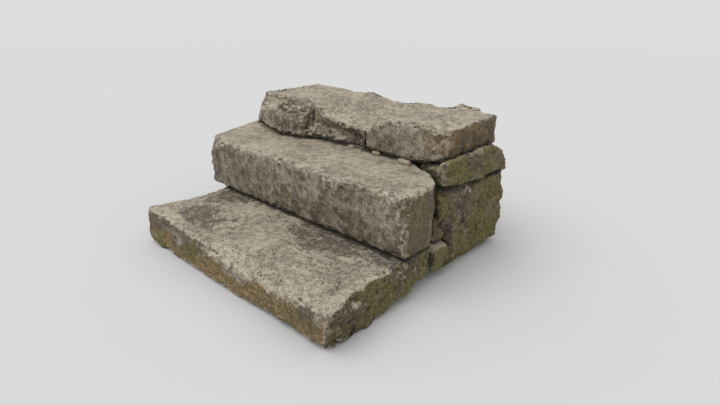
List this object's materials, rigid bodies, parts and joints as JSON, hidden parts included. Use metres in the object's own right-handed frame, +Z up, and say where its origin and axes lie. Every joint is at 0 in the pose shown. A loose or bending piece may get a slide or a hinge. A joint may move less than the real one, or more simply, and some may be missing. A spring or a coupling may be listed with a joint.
{
  "type": "mounting block",
  "caption": "Stepped stone mounting block: large weathered blocks laid in courses, with worn treads, a spalled upper slab and a mossy end, for getting onto a horse",
  "frame": {"origin": "middle of the footprint on the ground", "axes": "X along the steps, Y from the lowest step to the back, Z up"},
  "size_m": [1.3772, 1.243, 0.668],
  "materials": {
    "weathered_sandstone": "rough, worn and stained",
    "mossy_sandstone": "rough, overgrown with moss and algae",
    "packing_stone": "rough broken stone",
    "lime_mortar": "crumbly lime"
  },
  "bodies": {
    "root": {"bottom_step_slab": "weathered_sandstone", "middle_step_block": "weathered_sandstone", "top_left_slab": "weathered_sandstone", "top_right_block": "weathered_sandstone", "ledge_stone_right": "mossy_sandstone", "ledge_stone_left": "mossy_sandstone", "base_block_right": "mossy_sandstone", "base_block_left": "mossy_sandstone", "foot_stone": "mossy_sandstone", "core_rubble": "packing_stone", "pinning_stones": "packing_stone", "middle_bed_mortar": "lime_mortar", "ledge_bed_mortar": "lime_mortar", "top_bed_mortar": "lime_mortar", "top_joint_mortar": "lime_mortar", "base_joint_mortar": "lime_mortar"}
  },
  "joints": []
}
